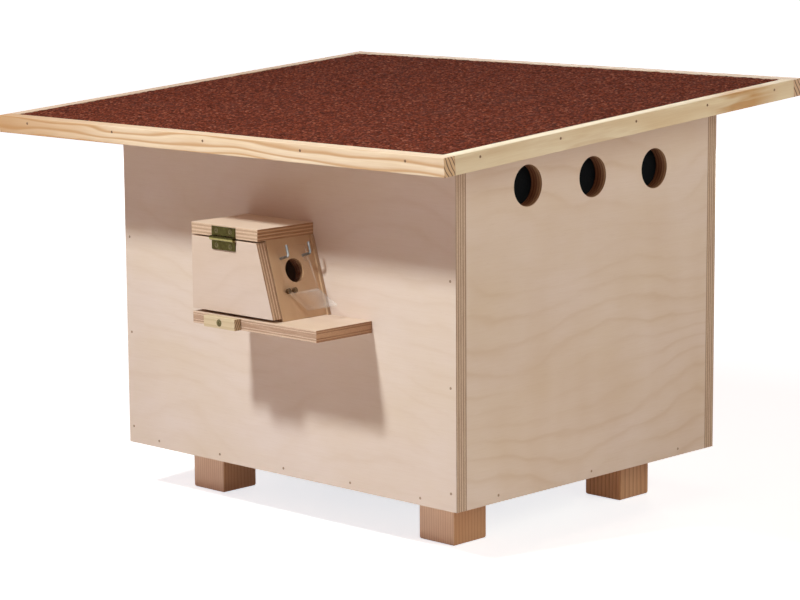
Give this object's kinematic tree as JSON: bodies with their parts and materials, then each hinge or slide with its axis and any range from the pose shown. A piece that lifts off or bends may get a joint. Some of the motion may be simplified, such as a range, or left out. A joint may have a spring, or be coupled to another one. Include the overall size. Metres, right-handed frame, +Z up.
{
  "type": "bumblebee nest box",
  "caption": "Plywood nest box on legs with a sloping lift-off felt roof, vent holes and a front entrance vestibule with hinged door, turn button and clear flap.",
  "frame": {"origin": "centre of the bounding box, on the plane under the legs", "axes": "+Z up; -Y towards the front with the vestibule; +X to the right as seen from the front"},
  "size_m": [0.534, 0.451, 0.3696],
  "materials": {
    "birch_ply": "sanded birch plywood, bare",
    "pine": "planed pine, bare",
    "leg_wood": "planed reddish softwood, bare",
    "button_wood": "planed softwood, bare",
    "nest_ply": "thin plywood, bare",
    "felt": "roofing felt with dark red mineral grit, rough",
    "brass": "plain brass, slightly dull",
    "zinc": "bright zinc-plated wire",
    "steel": "dark steel brads",
    "yellow_zinc": "yellow zinc-plated screws",
    "gauze": "black woven gauze",
    "tube": "black plastic pipe",
    "clear": "clear acrylic, polished"
  },
  "bodies": {
    "box": {"front_wall": "birch_ply", "rear_wall": "birch_ply", "left_wall": "birch_ply", "right_wall": "birch_ply", "floor_board": "birch_ply", "leg_front_left": "leg_wood", "leg_front_right": "leg_wood", "leg_rear_left": "leg_wood", "leg_rear_right": "leg_wood", "leg_screws": "yellow_zinc", "wall_brads": "steel", "left_vent_gauze": "gauze", "right_vent_gauze": "gauze", "gauze_staples": "zinc", "vestibule_roof": "birch_ply", "vestibule_base": "birch_ply", "vestibule_end": "birch_ply", "vestibule_back": "birch_ply", "vestibule_screws": "yellow_zinc", "entrance_panel": "birch_ply", "entrance_tube": "tube", "flap_hooks": "zinc", "flap_stops": "brass", "hinge_roof_leaf": "brass", "hinge_pin": "brass", "hinge_roof_screws": "brass", "button_screw": "brass", "nest_front": "nest_ply", "nest_rear": "nest_ply", "nest_left": "nest_ply", "nest_right": "nest_ply", "nest_floor": "nest_ply", "nest_brads": "steel"},
    "roof": {"roof_board": "birch_ply", "roof_felt": "felt", "roof_strip_front": "pine", "roof_strip_rear": "pine", "roof_strip_left": "pine", "roof_strip_right": "pine", "roof_batten_left": "pine", "roof_batten_right": "pine", "strip_nails": "steel", "batten_screws": "yellow_zinc"},
    "door": {"vestibule_door": "birch_ply", "hinge_door_leaf": "brass", "hinge_door_screws": "brass"},
    "latch": {"turn_button": "button_wood"},
    "flap": {"entrance_flap": "clear"},
    "nest_top": {"nest_lid": "nest_ply"}
  },
  "joints": [
    {"name": "roof_lift", "type": "slide", "parent": "box", "child": "roof", "axis": [0, 0, 1], "range_m": [0, 0.15]},
    {"name": "door_swing", "type": "hinge", "parent": "box", "child": "door", "pos_m": [0, -0.20562, 0.2513], "axis": [-1, 0, 0], "range_deg": [0, 170]},
    {"name": "button_turn", "type": "hinge", "parent": "box", "child": "latch", "pos_m": [0, -0.20352, 0.182], "axis": [0, -1, 0], "continuous": true},
    {"name": "flap_swing", "type": "hinge", "parent": "box", "child": "flap", "pos_m": [0.04047, -0.16827, 0.24494], "axis": [0, -1, 0], "range_deg": [0, 33]},
    {"name": "nest_lid_lift", "type": "slide", "parent": "box", "child": "nest_top", "axis": [0, 0, 1], "range_m": [0, 0.05]}
  ]
}
